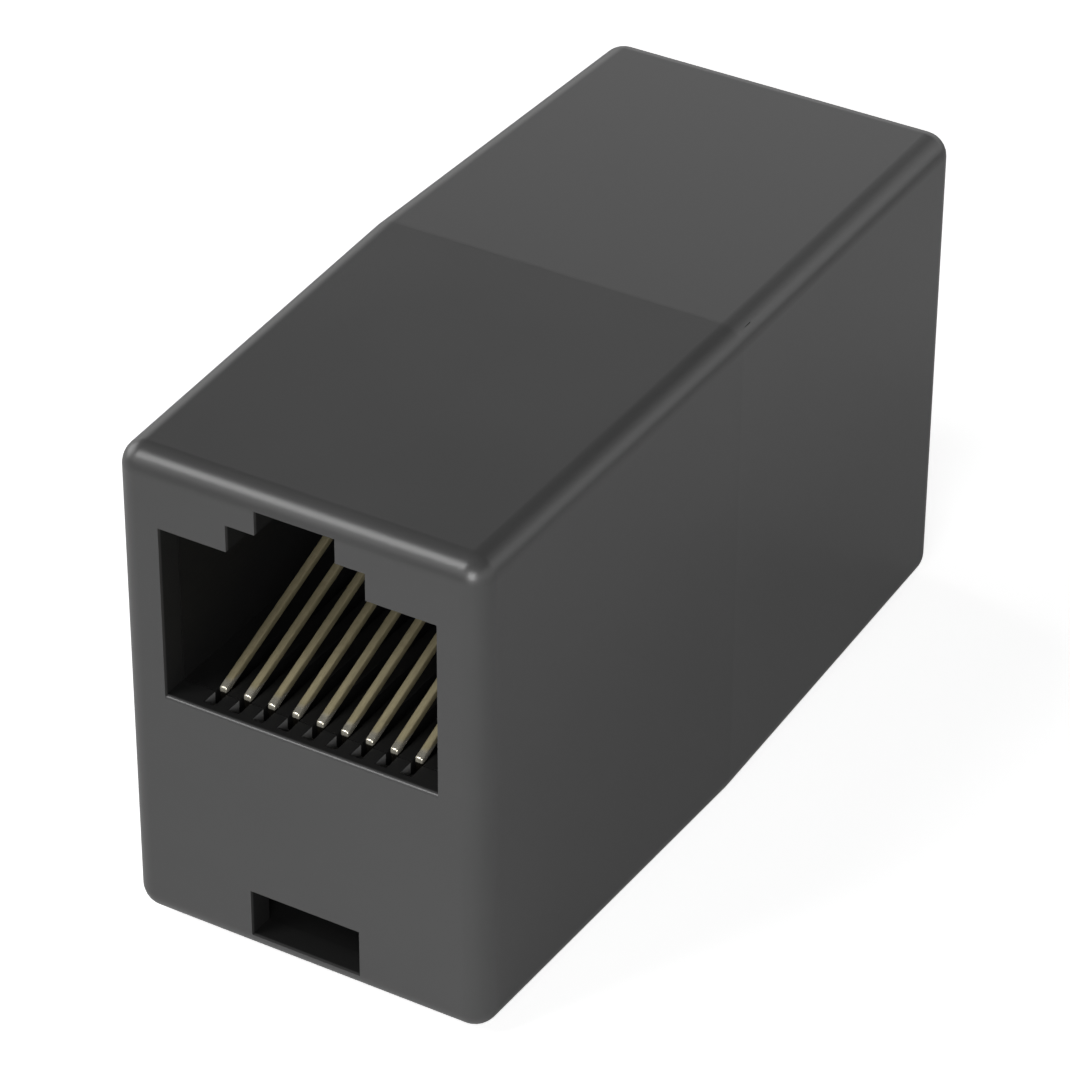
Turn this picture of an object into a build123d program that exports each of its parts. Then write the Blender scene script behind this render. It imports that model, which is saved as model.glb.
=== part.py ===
from build123d import *
import math
import os

# Inline coupler that joins two patch leads end to end. Millimetres, +Z up. One jack faces -Y
# and its twin faces +Y. The origin is on the underside, below the middle of the seam.

# Housing: two equal halves that meet at mid length and narrow towards their end faces
body_length = 36.25
seam_height = 21.65
draft_angle = 1.05
edge_radius = 1.0
inner_radius = 0.4
wall = 0.8
face_wall = 1.2

# Jack opening: a bay for the plug's body under a two-step notch for its latch
jack_width = 11.8
jack_height = 7.43
floor_offset = 0.1
step_width = 5.9
step_height = 1.15
notch_width = 3.4
sill_radius = 0.15

# Latch window low in the end face, and the catch rib behind it
window_width = 4.8
window_height = 2.1
rib_width = 4.6
rib_height = 0.5
rib_length = 0.9

# Lap joint and snap arms inside the seam
lip_length = 1.0
lip_thickness = 0.45
lap_gap = 0.05
arm_height = 6.0
arm_thickness = 0.8
arm_reach = 3.2
arm_root = 3.4
arm_offset = 0.6
arm_lift = 0.4
root_length = 1.2
hook_length = 0.75
hook_height = 0.42
ridge_length = 0.7
ridge_height = 0.45

# Carrier: floor, side walls and rear comb of one jack. The housing is as wide as it makes it.
fit_gap = 0.05
carrier_wall = 1.08
plug_depth = 12.4
rear_wall = 1.8
channel_width = 6.4
floor_thickness = 2.5
bar_setback = 3.1
bar_length = 1.2
bar_height = 1.2
channel_depth = 0.5
catch_front = 6.5
catch_length = 3.0
catch_depth = 0.45
catch_height = 0.6

# Spring contacts, bent from strip, and the comb slots that part them
contact_count = 9
contact_pitch = 1.061
strip_width = 0.31
strip_thickness = 0.3
front_bend = 0.2
strip_rise = 20.0
leg_depth = 1.5
bend_lift = 0.05
slot_width = 0.5
slot_depth = 0.57
slot_start = 0.43
comb_reach = 1.4
comb_height = 5.4
free_end_gap = 0.3

# Circuit board, its holes and its solder
board_thickness = 1.2
board_setback = 4.6
board_gap = 0.05
board_corner = 0.5
hole_diameter = 0.65
tail_row = 6.5
tail_row_spacing = 2.54
tail_length = 0.75
solder_height = 0.5
solder_width = 0.95
solder_taper = 20.0
solder_sides = 8

# Levels and places that follow from the sizes above
half_length = body_length / 2
middle = seam_height / 2
jack_floor = middle + floor_offset
jack_top = jack_floor + jack_height
floor_underside = jack_floor - floor_thickness
board_top = floor_underside - board_gap
board_bottom = board_top - board_thickness
run_level = floor_underside + strip_thickness / 2
bend_level = jack_floor + bend_lift
nose_level = jack_floor - floor_thickness / 2
insert_front = face_wall + fit_gap
insert_rear = plug_depth + rear_wall
insert_length = insert_rear - insert_front
leg_back = leg_depth + slot_width / 2
board_bay = jack_width
bar_front = bar_setback
bar_rear = bar_front + bar_length
free_end_depth = plug_depth + comb_reach - free_end_gap


def narrowing(depth):
    """How much the draft takes off each side, from the seam to a depth behind the front face."""
    return (half_length - depth) * math.tan(math.radians(draft_angle))


def across(depth):
    """Plane across the body at a depth behind the front face, facing the front."""
    return Plane.XZ.offset(half_length - depth)


def level(height):
    """Level plane at a height above the underside."""
    return Plane.XY.offset(height)


def place(depth):
    """Y of a depth behind the front face."""
    return depth - half_length


end_roof = seam_height - wall - narrowing(0)
end_floor = wall + narrowing(0)
insert_width = jack_width + 2 * carrier_wall
seam_width = insert_width + 2 * (fit_gap + wall + narrowing(face_wall))
insert_height = seam_height - 2 * (narrowing(face_wall) + wall + fit_gap)
insert_bottom = middle - insert_height / 2
inner_side = seam_width / 2 - wall
wall_middle = seam_width / 2 - wall / 2
arm_outside = inner_side - arm_offset
arm_inside = arm_outside - arm_thickness
arm_level = jack_floor + arm_lift
free_end_level = bend_level + (free_end_depth - leg_depth) * math.tan(math.radians(strip_rise))
tail_depths = [tail_row + number % 2 * tail_row_spacing for number in range(contact_count)]
channel_length = max(tail_depths) + slot_width - insert_front
contact_columns = [(number - (contact_count - 1) / 2) * contact_pitch for number in range(contact_count)]

# Front housing half. It narrows from the seam to the end face by the draft that lets it leave its
# mould, and the hollow follows it at an even wall.
with BuildPart() as front_shell:
    with Locations((0, 0, middle)):
        Box(seam_width, half_length, seam_height, align=(Align.CENTER, Align.MAX, Align.CENTER))
    draft(front_shell.faces() - front_shell.faces().filter_by(Axis.Y), Plane.XZ, draft_angle)
    fillet(front_shell.edges() - front_shell.faces().sort_by(Axis.Y)[-1].edges(), edge_radius)
    with BuildPart(mode=Mode.SUBTRACT) as hollow:
        with Locations((0, 0, middle)):
            Box(
                seam_width - 2 * wall,
                half_length - face_wall,
                seam_height - 2 * wall,
                align=(Align.CENTER, Align.MAX, Align.CENTER),
            )
        draft(hollow.faces() - hollow.faces().filter_by(Axis.Y), Plane.XZ, draft_angle)
        fillet(hollow.edges().group_by(Edge.length)[2], inner_radius)

    # Jack opening with its stepped notch, and the latch window below it
    with BuildSketch(across(face_wall)):
        with Locations((0, jack_floor)):
            Rectangle(jack_width, jack_height, align=(Align.CENTER, Align.MIN))
        with Locations((0, jack_top)):
            Rectangle(step_width, step_height, align=(Align.CENTER, Align.MIN))
        with Locations((0, end_roof)):
            Rectangle(notch_width, end_roof - jack_top, align=(Align.CENTER, Align.MAX))
        with Locations((0, end_floor)):
            Rectangle(window_width, window_height, align=(Align.CENTER, Align.MIN))
    extrude(amount=face_wall, mode=Mode.SUBTRACT)
    sill_edge = front_shell.edges().sort_by_distance((0, place(0), jack_floor))[0]
    fillet(sill_edge, sill_radius)

    # Comb in the sill: each slot starts behind the face and curves down to its full depth
    for column in contact_columns:
        with BuildSketch(Plane.YZ.offset(column - slot_width / 2)):
            with Locations((place(leg_depth), jack_floor)):
                Ellipse(leg_depth - slot_start, slot_depth)
        extrude(amount=slot_width, mode=Mode.SUBTRACT)

    # Catch rib on the floor, steep towards the window and ramped towards the seam
    rib_front = bar_rear + fit_gap
    rib_floor = narrowing(rib_front) + wall
    with BuildSketch(Plane.YZ.offset(-rib_width / 2)):
        with BuildLine():
            Polyline(
                (place(rib_front), rib_floor - wall / 2),
                (place(rib_front), rib_floor + rib_height),
                (place(rib_front + rib_length / 3), rib_floor + rib_height),
                (place(rib_front + rib_length), rib_floor - wall / 2),
                close=True,
            )
        make_face()
    extrude(amount=rib_width)

    # Lip that laps into the other half, on one side only
    lip_width = seam_width - 2 * (wall - lip_thickness)
    lip_outer_height = seam_height - 2 * (wall - lip_thickness)
    with BuildSketch(across(half_length + lip_length)):
        with Locations((0, middle)):
            RectangleRounded(lip_width, lip_outer_height, edge_radius - (wall - lip_thickness))
            RectangleRounded(
                seam_width - 2 * wall, seam_height - 2 * wall, inner_radius, mode=Mode.SUBTRACT
            )
        with Locations((2 * lap_gap, middle)):
            Rectangle(seam_width, seam_height, align=(Align.MAX, Align.CENTER), mode=Mode.SUBTRACT)
    extrude(amount=lip_length + lap_gap)

    # Rebate that takes the other half's lip, on the opposite side
    with BuildSketch(across(half_length)):
        with Locations((-lap_gap, middle)):
            Rectangle(
                lip_width / 2, lip_outer_height + 2 * lap_gap, align=(Align.MAX, Align.CENTER)
            )
    extrude(amount=lip_length + lap_gap, mode=Mode.SUBTRACT)

    # Snap arm that reaches past the seam, rooted on the same side as the lip
    with BuildSketch(level(arm_level)):
        with BuildLine():
            Polyline(
                (arm_inside, -arm_root),
                (wall_middle, -arm_root),
                (wall_middle, root_length - arm_root),
                (arm_outside, root_length - arm_root),
                (arm_outside, arm_reach - hook_length),
                (arm_outside + hook_height, arm_reach - hook_length),
                (arm_outside + hook_height / 4, arm_reach),
                (arm_inside, arm_reach),
                close=True,
            )
        make_face()
    extrude(amount=arm_height)

    # Ridge that the other half's arm snaps behind
    ridge_back = arm_reach - hook_length - fit_gap
    with BuildSketch(level(arm_level)):
        with BuildLine():
            Polyline(
                (-wall_middle, -ridge_back),
                (ridge_height - inner_side, -ridge_back),
                (ridge_height - inner_side, ridge_length / 2 - ridge_back),
                (-wall_middle, ridge_length - ridge_back),
                close=True,
            )
        make_face()
    extrude(amount=arm_height)
front_shell.part.label = "front_shell"

# Rear housing half: the same moulding turned end for end
with BuildPart() as rear_shell:
    add(front_shell.part.rotate(Axis.Z, 180))
rear_shell.part.label = "rear_shell"

# Front carrier. It is one moulding: the jack's floor and side walls, and the comb at its rear.
with BuildPart() as front_insert:
    with BuildSketch(across(insert_rear)):
        with Locations((0, middle)):
            RectangleRounded(insert_width, insert_height, inner_radius)
    extrude(amount=insert_length)

    # Bay for the plug, open above its middle for the latch
    with BuildSketch(across(plug_depth)):
        with Locations((0, jack_floor)):
            Rectangle(jack_width, jack_height, align=(Align.CENTER, Align.MIN))
        with Locations((0, jack_top)):
            Rectangle(channel_width, insert_height, align=(Align.CENTER, Align.MIN))
    extrude(amount=plug_depth, mode=Mode.SUBTRACT)

    # Space for the board below the floor
    with BuildSketch(across(insert_rear)):
        with Locations((0, floor_underside)):
            Rectangle(board_bay, insert_height, align=(Align.CENTER, Align.MAX))
    extrude(amount=insert_rear, mode=Mode.SUBTRACT)

    # Cross bar that drops in front of the housing's catch rib
    with BuildSketch(across(bar_rear)):
        with Locations((0, insert_bottom)):
            Rectangle(board_bay + wall, bar_height, align=(Align.CENTER, Align.MIN))
    extrude(amount=bar_length)

    # Slots in the floor, in which the contacts sink when a plug presses on them
    with BuildSketch(level(jack_floor)):
        with Locations((0, place(insert_front))):
            with GridLocations(contact_pitch, 0, contact_count, 1):
                Rectangle(slot_width, plug_depth + comb_reach - insert_front, align=(Align.CENTER, Align.MIN))
    extrude(amount=-slot_depth, mode=Mode.SUBTRACT)

    # Slots in the rear comb, which keep the free ends apart
    with BuildSketch(level(jack_floor)):
        with Locations((0, place(plug_depth))):
            with GridLocations(contact_pitch, 0, contact_count, 1):
                Rectangle(slot_width, comb_reach, align=(Align.CENTER, Align.MIN))
    extrude(amount=comb_height, mode=Mode.SUBTRACT)

    # Channels down the nose and back along the underside, for the fixed part of each contact
    with BuildSketch(level(jack_floor)):
        with Locations((0, place(insert_front))):
            with GridLocations(contact_pitch, 0, contact_count, 1):
                Rectangle(slot_width, leg_back - insert_front, align=(Align.CENTER, Align.MIN))
    extrude(amount=-floor_thickness, mode=Mode.SUBTRACT)
    with BuildSketch(level(floor_underside)):
        with Locations((0, place(insert_front))):
            with GridLocations(contact_pitch, 0, contact_count, 1):
                Rectangle(slot_width, channel_length, align=(Align.CENTER, Align.MIN))
    extrude(amount=channel_depth, mode=Mode.SUBTRACT)

    # Catches on the side walls, which the board snaps past from below
    for side in (1, -1):
        with BuildSketch(Plane.XZ.offset(-place(catch_front + catch_length))):
            with BuildLine():
                Polyline(
                    (side * (board_bay + wall) / 2, board_bottom - board_gap),
                    (side * (board_bay / 2 - catch_depth), board_bottom - board_gap),
                    (side * board_bay / 2, board_bottom - board_gap - catch_height),
                    (side * (board_bay + wall) / 2, board_bottom - board_gap - catch_height),
                    close=True,
                )
            make_face()
        extrude(amount=catch_length)
front_insert.part.label = "front_insert"

# Rear carrier
with BuildPart() as rear_insert:
    add(front_insert.part.rotate(Axis.Z, 180))
rear_insert.part.label = "rear_insert"

# Circuit board under both carriers, with two staggered rows of slots for the tails at each end
with BuildPart() as circuit_board:
    with BuildSketch(level(board_bottom)) as board_outline:
        Rectangle(board_bay - 2 * fit_gap, body_length - 2 * board_setback)
        chamfer(board_outline.vertices(), board_corner)
        for column, tail in zip(contact_columns, tail_depths):
            with Locations((column, place(tail)), (-column, -place(tail))):
                RegularPolygon(hole_diameter / 2, solder_sides, major_radius=False, mode=Mode.SUBTRACT)
    extrude(amount=board_thickness)
circuit_board.part.label = "circuit_board"

# Solder on the underside of the board, one cone round each tail
with BuildPart() as front_solder:
    for column, tail in zip(contact_columns, tail_depths):
        with BuildSketch(Plane((column, place(tail), board_bottom))):
            RegularPolygon(solder_width / 2, solder_sides, major_radius=False)
        extrude(amount=-solder_height, taper=solder_taper)
        with BuildSketch(Plane((column, place(tail), board_bottom))):
            Rectangle(strip_width, strip_thickness)
        extrude(amount=-solder_height, mode=Mode.SUBTRACT)
front_solder.part.label = "front_solder"
with BuildPart() as rear_solder:
    add(front_solder.part.rotate(Axis.Z, 180))
rear_solder.part.label = "rear_solder"

os.makedirs("parts", exist_ok=True)
export_step(front_shell.part, "parts/front_shell.step")
export_step(rear_shell.part, "parts/rear_shell.step")
export_step(front_insert.part, "parts/front_insert.step")
export_step(rear_insert.part, "parts/rear_insert.step")
export_step(circuit_board.part, "parts/circuit_board.step")
export_step(front_solder.part, "parts/front_solder.step")
export_step(rear_solder.part, "parts/rear_solder.step")

# Spring contacts, numbered along +X. From its tail each runs forward under the carrier's floor and up its
# nose, bent sharply. From there it is the spring itself, which turns over and slopes up to the rear comb.
for number, (column, tail) in enumerate(zip(contact_columns, tail_depths), start=1):
    with BuildPart() as front_contact:
        with BuildLine(Plane.YZ.offset(column)):
            run = Polyline(
                (place(tail), board_bottom - tail_length),
                (place(tail), run_level),
                (place(leg_depth), run_level),
                (place(leg_depth), nose_level),
            )
        with BuildSketch(Plane(origin=run @ 0, x_dir=(1, 0, 0), z_dir=run % 0)):
            Rectangle(strip_width, strip_thickness)
        sweep(path=run, transition=Transition.RIGHT)
        with BuildLine(Plane.YZ.offset(column)):
            spring = FilletPolyline(
                (place(leg_depth), nose_level),
                (place(leg_depth), bend_level),
                (place(free_end_depth), free_end_level),
                radius=front_bend,
            )
        with BuildSketch(Plane(origin=spring @ 0, x_dir=(1, 0, 0), z_dir=spring % 0)):
            Rectangle(strip_width, strip_thickness)
        sweep(path=spring)
    front_contact.part.label = f"front_contact_{number}"
    export_step(front_contact.part, f"parts/front_contact_{number}.step")
    with BuildPart() as rear_contact:
        add(front_contact.part.rotate(Axis.Z, 180))
    rear_contact.part.label = f"rear_contact_{number}"
    export_step(rear_contact.part, f"parts/rear_contact_{number}.step")
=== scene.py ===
# %% [markdown]
# This lesson dresses an inline coupler, the small box that joins two network patch leads. The
# construction model gives every moulding, strip and board at its real size. Blender adds the finish of
# each surface, and the finely rounded spring contacts. The imported model is loaded first and stays as it
# is.

# %% Load the imported model
import math

import bmesh
import bpy
from mathutils import Matrix, Vector


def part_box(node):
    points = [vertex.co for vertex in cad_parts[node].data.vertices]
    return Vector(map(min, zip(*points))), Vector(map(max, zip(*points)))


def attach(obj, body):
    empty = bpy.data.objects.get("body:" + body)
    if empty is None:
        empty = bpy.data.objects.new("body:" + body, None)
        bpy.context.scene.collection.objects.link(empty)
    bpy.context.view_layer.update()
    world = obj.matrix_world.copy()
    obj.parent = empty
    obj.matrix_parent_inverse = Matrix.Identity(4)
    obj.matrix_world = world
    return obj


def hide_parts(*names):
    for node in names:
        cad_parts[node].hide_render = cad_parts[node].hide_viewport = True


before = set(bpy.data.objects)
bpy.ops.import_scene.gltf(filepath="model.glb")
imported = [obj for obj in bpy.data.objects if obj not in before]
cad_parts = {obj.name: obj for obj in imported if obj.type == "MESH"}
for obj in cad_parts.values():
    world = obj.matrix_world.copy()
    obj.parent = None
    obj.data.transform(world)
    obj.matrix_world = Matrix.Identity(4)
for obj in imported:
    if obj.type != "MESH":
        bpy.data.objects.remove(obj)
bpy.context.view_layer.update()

# %% [markdown]
# Lengths are in metres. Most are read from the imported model, so the looks follow it when a size
# changes. What its boxes can't tell, such as the thickness of a strip, is named here with the value that
# the construction model has. Only the rounding of a strip and its tight bend at the front are finer here.

# %% Sizes
MM = 0.001
shell_low, shell_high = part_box("front_shell")
board_low, board_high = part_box("circuit_board")
end_face = shell_low.y
middle = (shell_low.z + shell_high.z) / 2
floor_offset = 0.1 * MM
jack_floor = middle + floor_offset
board_gap = 0.05 * MM
floor_underside = board_high.z + board_gap
strip_thickness = 0.3 * MM
strip_rounding = 0.04 * MM
strip_rise = math.radians(20)
bend_lift = 0.05 * MM
front_bend = 0.12 * MM
inner_bend = 0.03 * MM
hidden_bend = 0.4 * MM
tail_row = 6.5 * MM
tail_row_spacing = 2.54 * MM
arc_steps = 8
print("end face", round(end_face / MM, 2), "mm, jack floor", round(jack_floor / MM, 2), "mm up")

# %% [markdown]
# A material is a graph of nodes, and long graphs are hard to read as code. A small class wraps a socket,
# so that a sum or product of two sockets is written as a sum or product. Each operator adds the Math
# node that does it. A finish holds one material and adds every other kind of node by one method. The Mix
# node has sockets of the same name for numbers and for colours, so its colour sockets go by their number.

# %% Shader maths
MIX_FIRST, MIX_SECOND, MIX_RESULT = 6, 7, 2


def grey(level):
    """A grey as bright as the level."""
    return (level, level, level, 1)


class Signal:
    """A socket that maths can be written with."""

    def __init__(self, finish, socket):
        self.finish = finish
        self.socket = socket

    def math(self, operation, first, second):
        return self.finish.node("ShaderNodeMath", {"operation": operation}, {0: first, 1: second})

    def __add__(self, other):
        return self.math("ADD", self, other)

    __radd__ = __add__

    def __sub__(self, other):
        return self.math("SUBTRACT", self, other)

    def __rsub__(self, other):
        return self.math("SUBTRACT", other, self)

    def __mul__(self, other):
        return self.math("MULTIPLY", self, other)

    __rmul__ = __mul__

    def size(self):
        """The value without its sign."""
        return self.math("ABSOLUTE", self, 0.0)

    def sine(self):
        return self.math("SINE", self, 0.0)

    def ramp(self, low, high):
        """Runs smoothly from nought to one as the value goes from low to high."""
        settings = {"interpolation_type": "SMOOTHSTEP"}
        inputs = {"Value": self, "From Min": low, "From Max": high}
        return self.finish.node("ShaderNodeMapRange", settings, inputs)


class Finish:
    """One material, built up node by node on a Principled shader."""

    def __init__(self, name, **constants):
        self.material = bpy.data.materials.new(name)
        self.material.use_nodes = True
        self.tree = self.material.node_tree
        self.shader = self.tree.nodes["Principled BSDF"]
        self.feed(self.shader, {key.replace("_", " "): value for key, value in constants.items()})

    def feed(self, node, inputs):
        """Gives each input its value or its link."""
        for key, value in inputs.items():
            if isinstance(value, Signal):
                self.tree.links.new(value.socket, node.inputs[key])
            else:
                node.inputs[key].default_value = value

    def node(self, kind, settings=None, inputs=None, output=0):
        """Adds a node: its settings first, then its inputs. Returns one output."""
        node = self.tree.nodes.new(kind)
        for key, value in (settings or {}).items():
            setattr(node, key, value)
        self.feed(node, inputs or {})
        return Signal(self, node.outputs[output])

    def place(self):
        """The position on the part."""
        return self.node("ShaderNodeTexCoord", output="Object")

    def axes(self, vector):
        """The three numbers of a vector."""
        split = self.node("ShaderNodeSeparateXYZ", {}, {"Vector": vector})
        return [Signal(self, output) for output in split.socket.node.outputs]

    def stretched(self, position, scale):
        """A position whose noise is drawn out along the axes that have a small scale."""
        return self.node("ShaderNodeMapping", {}, {"Vector": position, "Scale": scale})

    def noise(self, position, size, detail=2.0):
        """Noise from 0 to 1 whose patches are about one size, in metres."""
        inputs = {"Vector": position, "Scale": 1 / size, "Detail": detail}
        return self.node("ShaderNodeTexNoise", {}, inputs, "Fac")

    def blend(self, factor, first, second):
        """A colour between two others."""
        inputs = {"Factor": factor, MIX_FIRST: first, MIX_SECOND: second}
        return self.node("ShaderNodeMix", {"data_type": "RGBA"}, inputs, MIX_RESULT)

    def bump(self, height, strength, depth):
        """The surface normal, tilted by a height map."""
        inputs = {"Height": height, "Strength": strength, "Distance": depth}
        return self.node("ShaderNodeBump", {}, inputs, "Normal")

    def paint(self, **inputs):
        """Links what varies over the surface to the shader."""
        self.feed(self.shader, {key.replace("_", " "): value for key, value in inputs.items()})
        print("finish", self.material.name, "nodes", len(self.tree.nodes))
        return self.material


# %% [markdown]
# The housing is black ABS from a mould whose steel was spark eroded, which leaves fine, soft pits and a
# satin sheen. A noise of about a sixth of a millimetre bumps the normal, and a broad, faint one keeps the
# grey from being even. The seam between the halves is hardly more than a change of tone, so its bump is
# narrow. Shade is painted into the openings and behind the end walls, which come out almost black. The
# walls of the comb slots are painted lighter, as painted light that stands in for the light they catch.

# %% Housing finish


def painted_shade_mask(x, y, z):
    """One where shade is painted: within the end walls and in the openings, and nought on the outside of
    the housing.
    """
    fade = 0.1 * MM
    half_width = shell_high.x - 2 * MM
    half_height = middle - shell_low.z - 1 * MM
    behind_face = (y.size() + end_face).ramp(-fade, -2 * fade)
    off_side = (x.size() - half_width).ramp(3 * fade, 0.0)
    off_top = ((z - middle).size() - half_height).ramp(fade, 0.0)
    return behind_face * off_side * off_top


def painted_slot_light_mask(z):
    """One at the depth of the comb slots, below the jack's floor, where light is painted on their walls.
    """
    height = z - jack_floor
    below_rim = height.ramp(-0.02 * MM, -0.06 * MM)
    above_slot_floor = height.ramp(-0.9 * MM, -0.8 * MM)
    return below_rim * above_slot_floor


def housing_finish():
    finish = Finish("housing_satin_abs", IOR=1.5)
    position = finish.place()
    x, y, z = finish.axes(position)
    pits = finish.noise(position, 0.16 * MM, detail=3.0)
    flow = finish.noise(position, 7 * MM)
    seam = y.size().ramp(0.0, 0.03 * MM)
    # Painted shade: the openings and what lies behind the end walls are painted almost black.
    painted_shade_region = painted_shade_mask(x, y, z)
    satin = finish.blend(flow, grey(0.060), grey(0.068))
    # Painted light: the comb slot walls are painted lighter within the painted shade.
    painted_shade_and_slot_light = finish.blend(painted_shade_region * painted_slot_light_mask(z), grey(0.004), grey(0.2))
    return finish.paint(
        Base_Color=finish.blend(painted_shade_region, satin, painted_shade_and_slot_light),
        Roughness=0.27 + 0.05 * flow + 0.04 * pits + 0.3 * painted_shade_region,
        Normal=finish.bump(pits * 0.12 + seam * 0.3, 0.35, 0.02 * MM),
    )


housing = housing_finish()

# %% [markdown]
# The two jack carriers inside are another moulding, in a deeper and duller black. Their steel was only
# ground, so fine lines run along the pull of the mould. Stretched noise gives these.

# %% Carrier finish


def carrier_finish():
    finish = Finish("carrier_matt_black", IOR=1.4)
    lines = finish.noise(finish.stretched(finish.place(), (1, 0.08, 1)), 0.1 * MM)
    return finish.paint(
        Base_Color=finish.blend(lines, grey(0.005), grey(0.008)),
        Roughness=0.5 + 0.12 * lines,
        Normal=finish.bump(lines, 0.2, 0.01 * MM),
    )


carrier = carrier_finish()

# %% [markdown]
# The contacts are phosphor bronze strip with a thin flash of gold, which comes out as a dull straw colour
# with the lines of rolling along it. Noise drawn out along the strip varies its colour and its roughness,
# and small dull spots break it up. The bend at the front is painted light as a highlight, and its
# roughness is lower where plugs rub it. Below the jack's floor the strip is painted dark as shade.

# %% Contact finish


def contact_finish():
    finish = Finish("contact_gold_flash", Metallic=0.75)
    position = finish.place()
    height = finish.axes(position)[2] - jack_floor
    rolling = finish.noise(finish.stretched(position, (1, 0.06, 0.2)), 0.04 * MM)
    spots = finish.noise(position, 0.5 * MM, detail=4.0).ramp(0.45, 0.7)
    # Painted highlight: the bend at the front is painted light, and its roughness drops where plugs rub
    # it.
    painted_highlight_and_rub = height.ramp(0.34 * MM, 0.22 * MM)
    # Painted shade: below the jack's floor the strip is painted dark.
    outside_painted_shade = height.ramp(-0.06 * MM, 0.0)
    straw = finish.blend(rolling, (0.37, 0.325, 0.195, 1), (0.58, 0.51, 0.32, 1))
    spotted = finish.blend(0.35 * spots, straw, (0.26, 0.22, 0.14, 1))
    gold = finish.blend(painted_highlight_and_rub, spotted, (0.8, 0.76, 0.64, 1))
    return finish.paint(
        Base_Color=finish.blend(outside_painted_shade, (0.02, 0.018, 0.014, 1), gold),
        Roughness=0.45 + 0.1 * rolling + 0.12 * spots - 0.3 * painted_highlight_and_rub,
        Normal=finish.bump(rolling, 0.15, 0.004 * MM),
    )


contact = contact_finish()

# %% [markdown]
# The circuit board is glass laminate under green solder mask. The weave of the glass shows through as a
# faint check. Its cut edge has no mask and is the straw colour of the laminate, so the green is only on
# faces that look up or down.

# %% Board finish


def board_finish():
    finish = Finish("board_green_mask", IOR=1.5, Coat_Roughness=0.15)
    x, y, z = finish.axes(finish.place())
    turns = 2 * math.pi / (0.6 * MM)
    weave = ((x * turns).sine() * (y * turns).sine()).ramp(-1, 1)
    upward = finish.axes(finish.node("ShaderNodeNewGeometry", output="True Normal"))[2]
    mask = upward.size().ramp(0.5, 0.6)
    green = finish.blend(weave, (0.012, 0.085, 0.028, 1), (0.02, 0.12, 0.042, 1))
    laminate = (0.42, 0.36, 0.2, 1)
    return finish.paint(
        Base_Color=finish.blend(mask, laminate, green),
        Roughness=0.65 - 0.35 * mask,
        Coat_Weight=0.5 * mask,
        Normal=finish.bump(weave * mask, 0.1, 0.01 * MM),
    )


board = board_finish()

# %% [markdown]
# Solder is bright where it froze smooth and frosted where it crystallised. One noise mixes the two.

# %% Solder finish


def solder_finish():
    finish = Finish("solder_bright", Metallic=1.0)
    frost = finish.noise(finish.place(), 0.25 * MM, detail=5.0)
    return finish.paint(
        Base_Color=finish.blend(frost, (0.62, 0.62, 0.63, 1), (0.78, 0.78, 0.79, 1)),
        Roughness=0.18 + 0.3 * frost,
        Normal=finish.bump(frost, 0.2, 0.01 * MM),
    )


solder = solder_finish()

# %% [markdown]
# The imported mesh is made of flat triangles, so its rounded edges would show facets. Moving its points
# isn't allowed and isn't needed. Modifiers join the triangles, shade the gentle angles smooth and keep
# the sharp ones, and weighted normals keep each flat face flat up to its rounding.

# %% Smooth shading of the mouldings
gentle_angle = math.radians(26)


def smooth_by_angle():
    """A node group that shades smooth, except across edges that turn more than an angle."""
    group = bpy.data.node_groups.new("smooth_by_angle", "GeometryNodeTree")
    group.interface.new_socket("Geometry", in_out="INPUT", socket_type="NodeSocketGeometry")
    group.interface.new_socket("Geometry", in_out="OUTPUT", socket_type="NodeSocketGeometry")
    nodes = group.nodes
    links = group.links
    entry = nodes.new("NodeGroupInput")
    result = nodes.new("NodeGroupOutput")
    angle = nodes.new("GeometryNodeInputMeshEdgeAngle")
    gentle = nodes.new("FunctionNodeCompare")
    gentle.operation = "LESS_THAN"
    gentle.inputs["B"].default_value = gentle_angle
    faces = nodes.new("GeometryNodeSetShadeSmooth")
    edges = nodes.new("GeometryNodeSetShadeSmooth")
    edges.domain = "EDGE"
    links.new(entry.outputs[0], faces.inputs["Geometry"])
    links.new(faces.outputs[0], edges.inputs["Geometry"])
    links.new(angle.outputs["Unsigned Angle"], gentle.inputs["A"])
    links.new(gentle.outputs["Result"], edges.inputs["Shade Smooth"])
    links.new(edges.outputs[0], result.inputs[0])
    return group


smoothing = smooth_by_angle()


def dress(node, material):
    """Gives a CAD node its finish and its smooth shading."""
    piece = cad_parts[node]
    piece.data.materials.clear()
    piece.data.materials.append(material)
    weld = piece.modifiers.new("join", "WELD")
    weld.merge_threshold = 0.0005 * MM
    shade = piece.modifiers.new("shade", "NODES")
    shade.node_group = smoothing
    flat = piece.modifiers.new("flat", "WEIGHTED_NORMAL")
    flat.keep_sharp = True


finishes = {"circuit_board": board}
for end in ("front", "rear"):
    finishes |= {f"{end}_shell": housing, f"{end}_insert": carrier, f"{end}_solder": solder}
for node, material in finishes.items():
    dress(node, material)
print("dressed", sorted(finishes))

# %% [markdown]
# A spring contact is one strip that comes up from the board, runs forward under the jack's floor, up
# its nose, turns over and slopes back up to the comb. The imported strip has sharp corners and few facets.
# A real one is stamped, so its corners are slightly rounded, and these roundings catch the light. A new
# strip is built along the same route: the route's corners are turned into arcs, and a rounded section is
# carried along it.

# %% Route of a contact


def arc_round(before, corner, after, radius):
    """Points on an arc of the given radius that rounds the corner between two straight runs."""
    start = (before - corner).normalized()
    end = (after - corner).normalized()
    half = start.angle(end) / 2
    centre = corner + (start + end).normalized() * (radius / math.sin(half))
    first = (corner + start * (radius / math.tan(half)) - centre).normalized()
    last = (corner + end * (radius / math.tan(half)) - centre).normalized()
    turns = [first.slerp(last, step / arc_steps) for step in range(arc_steps + 1)]
    return [centre + turn * radius for turn in turns]


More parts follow.
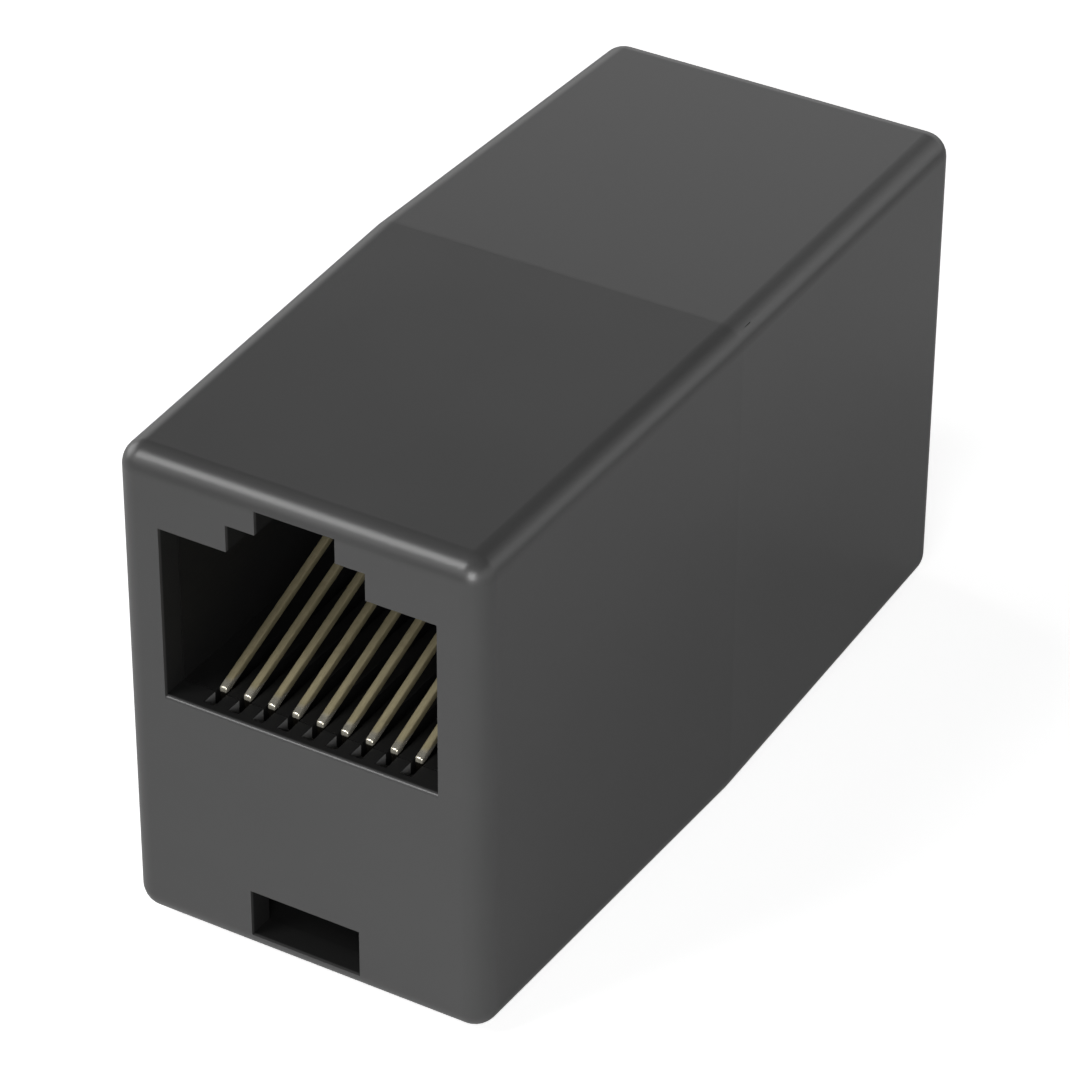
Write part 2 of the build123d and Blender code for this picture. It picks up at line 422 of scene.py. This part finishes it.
def contact_corners(node):
    """The corners of a front contact's middle line as (y, z) points, read from its CAD box."""
    low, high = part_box(node)
    leg = low.y + strip_thickness / 2
    run = floor_underside + strip_thickness / 2
    bend = jack_floor + bend_lift
    free_end = high.z - strip_thickness / 2 * math.cos(strip_rise)
    reach = (free_end - bend) / math.tan(strip_rise)
    number = int(node.rsplit("_", 1)[1]) - 1
    tail = end_face + tail_row + number % 2 * tail_row_spacing
    points = ((tail, low.z), (tail, run), (leg, run), (leg, bend), (leg + reach, free_end))
    return [Vector(point) for point in points]


def shifted(corners, out):
    """The corners of a line that runs beside another at a distance."""
    moved = []
    for index, corner in enumerate(corners):
        before = (corner - corners[index - 1]).normalized() if index else None
        after = (corners[index + 1] - corner).normalized() if index + 1 < len(corners) else None
        sides = [Vector((-run.y, run.x)) for run in (before, after) if run]
        side = sum(sides, Vector((0, 0))).normalized()
        moved.append(corner + side * (out / side.dot(sides[0])))
    return moved


def strip_line(corners, out):
    """One long edge of the strip: the corners shifted out and turned into arcs."""
    line = shifted(corners, out)
    outside = (out + strip_thickness / 2) / strip_thickness
    bend = inner_bend + (front_bend - inner_bend) * outside
    route = [line[0]]
    for index, radius in enumerate((hidden_bend, hidden_bend, bend), start=1):
        route += arc_round(line[index - 1], line[index], line[index + 1], radius)
    route.append(line[-1])
    return route


print("corners of a contact", len(contact_corners("front_contact_1")))

# %% [markdown]
# The section is a rectangle with rounded corners. Each of its points runs along the route on a line of
# its own, and the faces between neighbouring lines make the strip. The rear jack is the front one turned
# half way round, so its strips are too. Each strip takes the place of one packed contact.

# %% Strip along the route
strip_sharp_angle = math.radians(50)


def strip_section(width, thickness, rounding):
    """A rectangle with rounded corners as (across, out) points."""
    points = []
    for quarter in range(4):
        sign_across = (1, -1, -1, 1)[quarter]
        sign_out = (1, 1, -1, -1)[quarter]
        for step in range(3):
            angle = math.pi / 2 * (quarter + step / 2)
            across = sign_across * (width / 2 - rounding) + rounding * math.cos(angle)
            out = sign_out * (thickness / 2 - rounding) + rounding * math.sin(angle)
            points.append((across, out))
    return points


def build_contact(end, number):
    """A rounded strip that takes the place of one CAD contact."""
    source = f"front_contact_{number}"
    low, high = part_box(source)
    column = (low.x + high.x) / 2
    corners = contact_corners(source)
    mesh = bmesh.new()
    lines = []
    for across, out in strip_section(high.x - low.x, strip_thickness, strip_rounding):
        line = strip_line(corners, out)
        lines.append([mesh.verts.new((column + across, point.x, point.y)) for point in line])
    for first, second in zip(lines, lines[1:] + lines[:1]):
        for index in range(len(first) - 1):
            mesh.faces.new((first[index], second[index], second[index + 1], first[index + 1]))
    mesh.faces.new([line[0] for line in lines])
    mesh.faces.new([line[-1] for line in lines])
    if end == "rear":
        half_turn = Matrix.Rotation(math.pi, 3, "Z")
        bmesh.ops.rotate(mesh, cent=(0, 0, 0), matrix=half_turn, verts=mesh.verts)
    bmesh.ops.recalc_face_normals(mesh, faces=mesh.faces)
    data = bpy.data.meshes.new(f"{end}_strip_{number}")
    mesh.to_mesh(data)
    mesh.free()
    data.shade_smooth()
    data.set_sharp_from_angle(angle=strip_sharp_angle)
    data.materials.append(contact)
    piece = bpy.data.objects.new(f"{end}_strip_{number}", data)
    bpy.context.scene.collection.objects.link(piece)
    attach(piece, "root")
    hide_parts(f"{end}_contact_{number}")
    return piece


strips = [build_contact(end, number) for end in ("front", "rear") for number in range(1, 10)]
print("strips", len(strips), "faces", sum(len(strip.data.polygons) for strip in strips))

# %% [markdown]
# The part stands on a wide white floor that meets the white of the world far away. Both show plain white
# to the camera. A black card hangs over the set like a ceiling, so that the top of the housing mirrors
# the dark above it and only a little of the white horizon, as it does in the photograph. A low black card
# stands in front, to the left, because the rounding along the top of the front face would mirror the
# horizon there as a white line. Both are hidden from the camera, so that the low one isn't in the way when
# it looks at the part from the front.

# %% Floor, cards and world


def stage_plane(name, corners, material):
    """A flat sheet of the studio, which isn't part of the object."""
    data = bpy.data.meshes.new(name)
    data.from_pydata(corners, [], [(0, 1, 2, 3)])
    plane = bpy.data.objects.new(name, data)
    bpy.context.scene.collection.objects.link(plane)
    data.materials.append(material)
    return plane


def level_square(reach, height):
    """The corners of a level square that is centred on the part."""
    corners = ((-1, -1), (1, -1), (1, 1), (-1, 1))
    return [(x * reach, y * reach, height) for x, y in corners]


def upright_sheet(start, end, bottom, top):
    """The corners of a sheet that stands along a line between two (x, y) points."""
    return [(*start, bottom), (*end, bottom), (*end, top), (*start, top)]


def floor_finish():
    """White paint that glows a little for the camera, so that it shows white and keeps the shadow."""
    constants = {"Base_Color": grey(0.8), "Roughness": 0.9, "Specular_IOR_Level": 0.0}
    finish = Finish("studio_white", Emission_Strength=1.0, **constants)
    seen = finish.node("ShaderNodeLightPath", output="Is Camera Ray")
    return finish.paint(Emission_Color=finish.blend(seen, grey(0.0), grey(0.75)))


def card_finish():
    constants = {"Base_Color": grey(0.01), "Roughness": 0.9, "Specular_IOR_Level": 0.0}
    return Finish("studio_black", **constants).material


def white_world(level):
    """White wherever it is seen or mirrored, and a plain level where it only lights."""
    world = bpy.data.worlds.new("studio_world")
    bpy.context.scene.world = world
    world.use_nodes = True
    tree = world.node_tree
    background = tree.nodes["Background"]
    background.inputs["Color"].default_value = (1, 1, 1, 1)
    rays = tree.nodes.new("ShaderNodeLightPath")
    seen = rays.outputs["Is Camera Ray"]
    for name in ("Is Glossy Ray", "Is Transmission Ray"):
        either = tree.nodes.new("ShaderNodeMath")
        either.operation = "MAXIMUM"
        tree.links.new(seen, either.inputs[0])
        tree.links.new(rays.outputs[name], either.inputs[1])
        seen = either.outputs[0]
    strength = tree.nodes.new("ShaderNodeMapRange")
    strength.inputs["To Min"].default_value = level
    strength.inputs["To Max"].default_value = 1.0
    tree.links.new(seen, strength.inputs["Value"])
    tree.links.new(strength.outputs["Result"], background.inputs["Strength"])


stage_plane("studio_floor", level_square(reach=2.5, height=0.0), floor_finish())
black = card_finish()
overhead = level_square(reach=0.865, height=0.6)
beside = upright_sheet((-0.16, -0.07), (0.03, -0.15), bottom=0.001, top=0.05)
for name, corners in (("ceiling_card", overhead), ("low_card", beside)):
    card = stage_plane(name, corners, black)
    card.visible_camera = False
white_world(level=0.2)
print("floor, cards and world ready")

# %% [markdown]
# Product shots of black plastic are lit by large soft boxes, because a small lamp would only show as hard
# glints. Each lamp here is an area lamp aimed at the part. Its power follows from the light it should
# give on the part: a wanted level of 1 makes white paint there come out white.

# %% Lamps
target = Vector((0, 0, middle))
lamp_distance = 0.5


def soft_box(name, direction, size, level):
    """An area lamp that gives a level of light on the part from one direction."""
    data = bpy.data.lights.new(name, "AREA")
    data.shape = "SQUARE"
    data.size = size
    data.energy = level * math.pi ** 2 * lamp_distance ** 2
    lamp = bpy.data.objects.new(name, data)
    bpy.context.scene.collection.objects.link(lamp)
    toward = Vector(direction).normalized()
    lamp.location = target + toward * lamp_distance
    lamp.rotation_euler = toward.to_track_quat("Z", "Y").to_euler()
    print(name, "level", level, "power", round(data.energy, 3), "W")


soft_box("key_lamp", (-0.42, -0.56, 0.71), size=0.2, level=0.4)
soft_box("front_lamp", (0.37, -0.87, 0.33), size=0.25, level=0.62)
soft_box("left_lamp", (-1.0, 0.0, 0.4), size=0.3, level=0.3)
soft_box("back_lamp", (0.56, 0.71, 0.42), size=0.3, level=0.04)

# %% [markdown]
# The camera stands where the photograph's did: to the right of the front jack and above it, about 19 cm
# away. Its lens is long, so the box tapers only a little.

# %% Camera


def photo_camera():
    data = bpy.data.cameras.new("photo_camera")
    data.sensor_width = 36
    data.lens = 165.546
    data.clip_start = 0.001
    camera = bpy.data.objects.new("photo_camera", data)
    bpy.context.scene.collection.objects.link(camera)
    right = Vector((0.859685, 0.510808, 0.003974))
    down = Vector((0.288447, -0.479004, -0.829068))
    ahead = Vector((-0.421591, 0.713884, -0.559134))
    turn = Matrix((right, -down, -ahead)).transposed().to_4x4()
    camera.matrix_world = Matrix.Translation((0.080495, -0.137695, 0.117213)) @ turn
    bpy.context.scene.camera = camera


photo_camera()
bpy.context.scene.view_settings.view_transform = "Standard"
print("camera ready")
